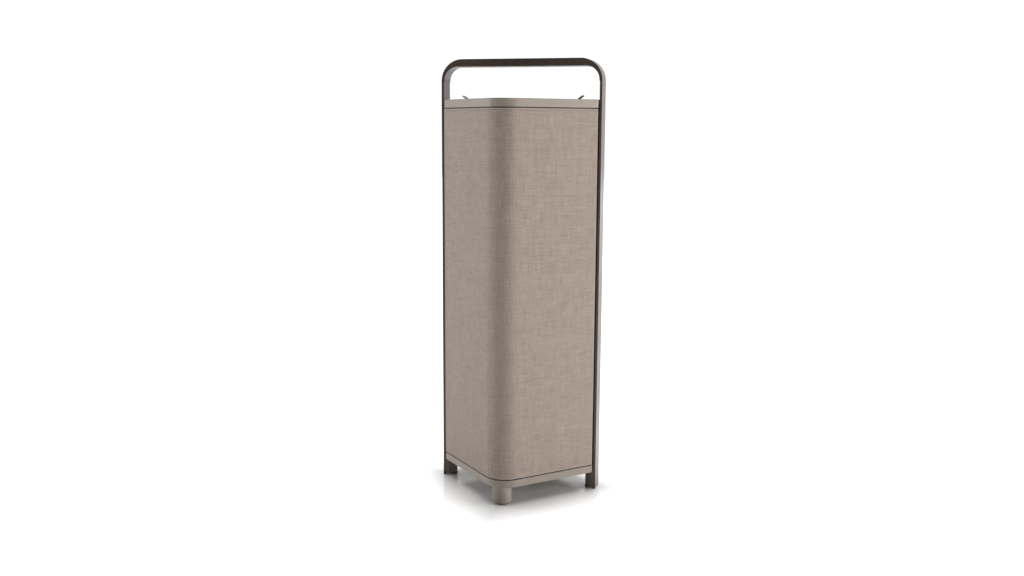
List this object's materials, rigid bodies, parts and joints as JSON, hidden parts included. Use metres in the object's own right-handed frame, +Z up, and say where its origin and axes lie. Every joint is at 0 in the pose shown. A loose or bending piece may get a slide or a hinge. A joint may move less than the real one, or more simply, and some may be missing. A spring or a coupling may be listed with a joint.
{
  "type": "air purifier",
  "caption": "Tall square air purifier turned cornerwise in a flat-bar hoop that forms its legs and carrying handle, with woven mesh panels, round feet and a top outlet grille.",
  "frame": {"origin": "on the floor under the middle of the hoop, at the bottom centre of the whole object", "axes": "+Z up; the hoop runs along X; the column's front corner points along -Y and its rear corner along +Y"},
  "size_m": [0.38, 0.3766, 1.005],
  "materials": {
    "hoop_coating": "fine satin powder coat",
    "grip_moulding": "matt moulded",
    "body_moulding": "matt moulded",
    "woven_mesh": "coated woven mesh",
    "panel_moulding": "matt moulded",
    "rubber": "moulded rubber",
    "steel": "zinc plated",
    "filter_paper": "pleated glass-fibre paper",
    "carbon": "granular",
    "filter_moulding": "matt moulded",
    "fan_moulding": "matt moulded",
    "motor_casting": "die cast",
    "rail_aluminium": "extruded and dark anodised",
    "circuit_board": "glass-fibre board",
    "control_moulding": "satin moulded",
    "lens": "clear moulded",
    "contact_brass": "plated"
  },
  "bodies": {
    "frame": {"hoop_frame": "hoop_coating", "handle_grip": "grip_moulding", "base_tray": "body_moulding", "top_cap": "body_moulding", "front_foot": "body_moulding", "rear_foot": "body_moulding", "left_foot": "body_moulding", "right_foot": "body_moulding", "outlet_grille": "panel_moulding", "air_sensor": "panel_moulding", "supply_case": "panel_moulding", "inlet_socket": "panel_moulding", "foot_pads": "rubber", "motor_grommets": "rubber", "filter_gaskets": "rubber", "mains_lead": "rubber", "foot_screws": "steel", "hoop_bolts": "steel", "base_screws": "steel", "cap_screws": "steel", "deck_screws": "steel", "board_screws": "steel", "motor_screws": "steel", "grip_screws": "steel", "latch_pins": "steel", "motor_bearings": "steel", "pleated_filter": "filter_paper", "carbon_sleeve": "carbon", "filter_bottom_cap": "filter_moulding", "filter_top_ring": "filter_moulding", "prefilter_sleeve": "filter_moulding", "fan_deck": "fan_moulding", "inlet_cone": "fan_moulding", "fan_housing": "fan_moulding", "outlet_stator": "fan_moulding", "outlet_duct": "fan_moulding", "motor_spider": "fan_moulding", "motor_body": "motor_casting", "left_rail": "rail_aluminium", "right_rail": "rail_aluminium", "control_board": "circuit_board", "supply_board": "circuit_board", "speed_encoder": "control_moulding", "power_switch": "control_moulding", "status_lens": "lens", "inlet_pins": "contact_brass"},
    "fan": {"impeller": "fan_moulding", "motor_shaft": "steel"},
    "knob": {"speed_knob": "control_moulding", "knob_shaft": "steel"},
    "button": {"power_button": "control_moulding"},
    "left_latch_lever": {"left_latch": "body_moulding"},
    "right_latch_lever": {"right_latch": "body_moulding"},
    "front_panel": {"front_panel_frame": "panel_moulding", "front_mesh": "woven_mesh", "front_panel_pegs": "panel_moulding"},
    "rear_panel": {"rear_panel_frame": "panel_moulding", "rear_mesh": "woven_mesh", "rear_panel_pegs": "panel_moulding"}
  },
  "joints": [
    {"name": "fan_spin", "type": "hinge", "parent": "frame", "child": "fan", "pos_m": [0, 0, 0.56], "axis": [0, 0, 1], "continuous": true},
    {"name": "knob_turn", "type": "hinge", "parent": "frame", "child": "knob", "pos_m": [0.024, -0.14, 0.905], "axis": [0, 0, -1], "range_deg": [0, 270]},
    {"name": "button_press", "type": "slide", "parent": "frame", "child": "button", "axis": [0, 0, -1], "range_m": [0, 0.0015], "stiffness_N_per_m": 600},
    {"name": "left_latch_flip", "type": "hinge", "parent": "frame", "child": "left_latch_lever", "pos_m": [-0.13079, 0, 0.9077], "axis": [0, -1, 0], "range_deg": [0, 25], "stiffness_Nm_per_rad": 0.2},
    {"name": "right_latch_flip", "type": "hinge", "parent": "frame", "child": "right_latch_lever", "pos_m": [0.13079, 0, 0.9077], "axis": [0, 1, 0], "range_deg": [0, 25], "stiffness_Nm_per_rad": 0.2},
    {"name": "front_panel_pull", "type": "slide", "parent": "frame", "child": "front_panel", "axis": [0, -1, 0], "range_m": [0, 0.12]},
    {"name": "rear_panel_pull", "type": "slide", "parent": "frame", "child": "rear_panel", "axis": [0, 1, 0], "range_m": [0, 0.12]}
  ]
}
